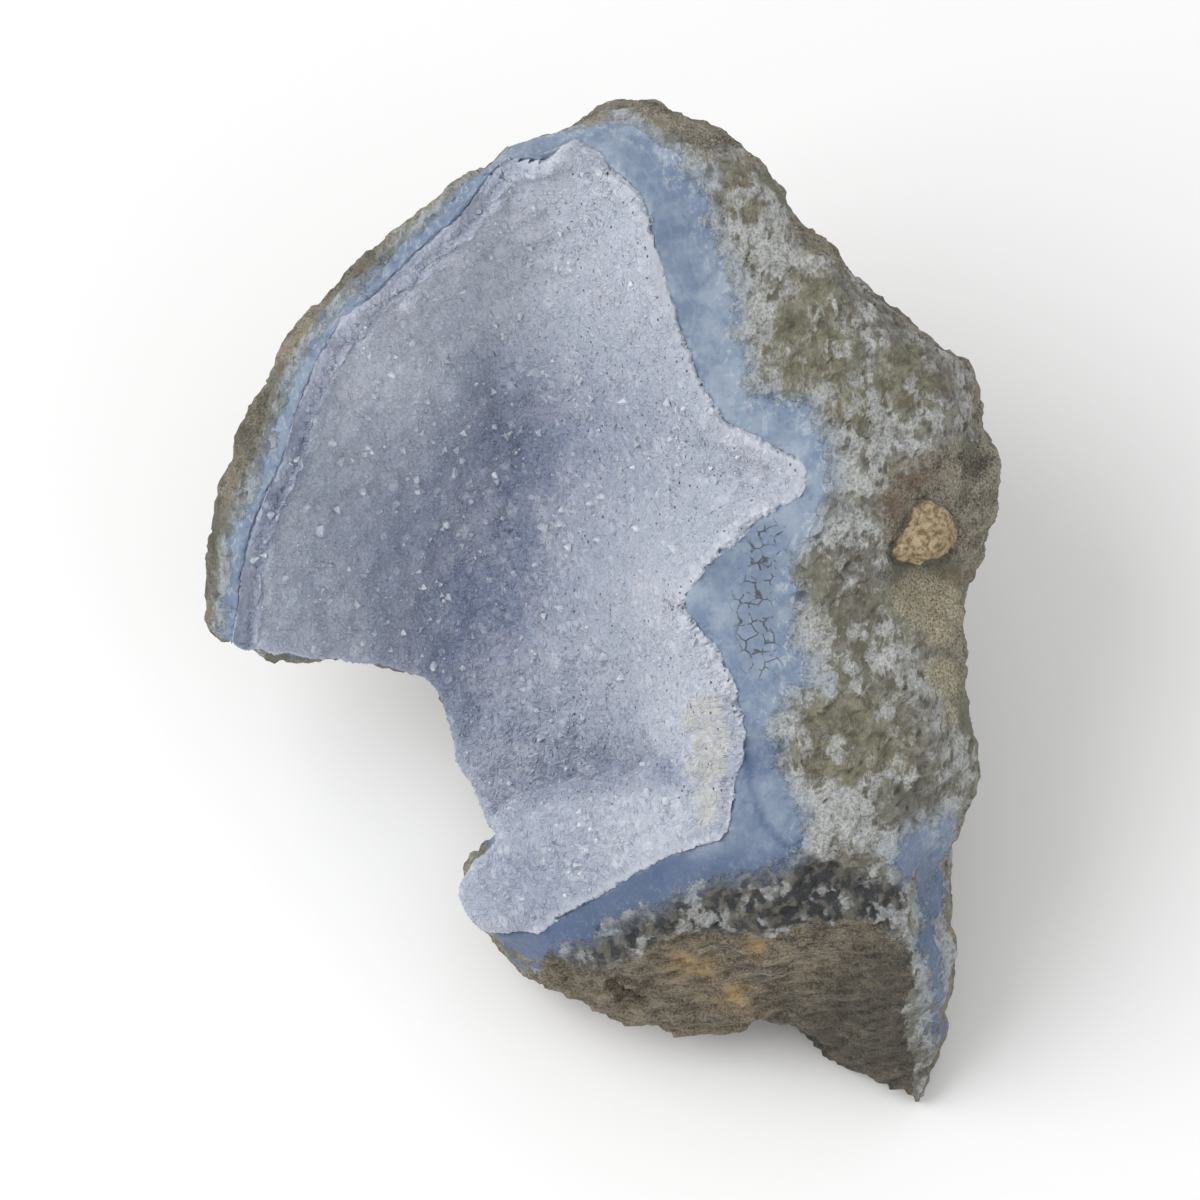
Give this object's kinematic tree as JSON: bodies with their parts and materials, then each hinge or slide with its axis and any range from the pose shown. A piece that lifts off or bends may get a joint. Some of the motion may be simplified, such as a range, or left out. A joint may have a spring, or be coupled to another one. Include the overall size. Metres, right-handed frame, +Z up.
{
  "type": "blue lace agate geode",
  "caption": "Broken piece of a geode on its back: a hollow lined with tiny lavender-grey quartz crystals, a band of blue chalcedony round it, and rough grey-brown host rock.",
  "frame": {"origin": "centre of the bounding box's foot, on the surface that the stone rests on", "axes": "+Z up; the hollow and the broken face look up and towards -Y; +X is to the right seen from -Y"},
  "size_m": [0.1202, 0.1352, 0.0927],
  "materials": {
    "host_rock": "rough broken rock, with a waxy band of blue chalcedony",
    "druse": "fine glittering quartz crystals"
  },
  "bodies": {
    "root": {"geode_rock": "host_rock", "crystal_crust": "druse"}
  },
  "joints": []
}
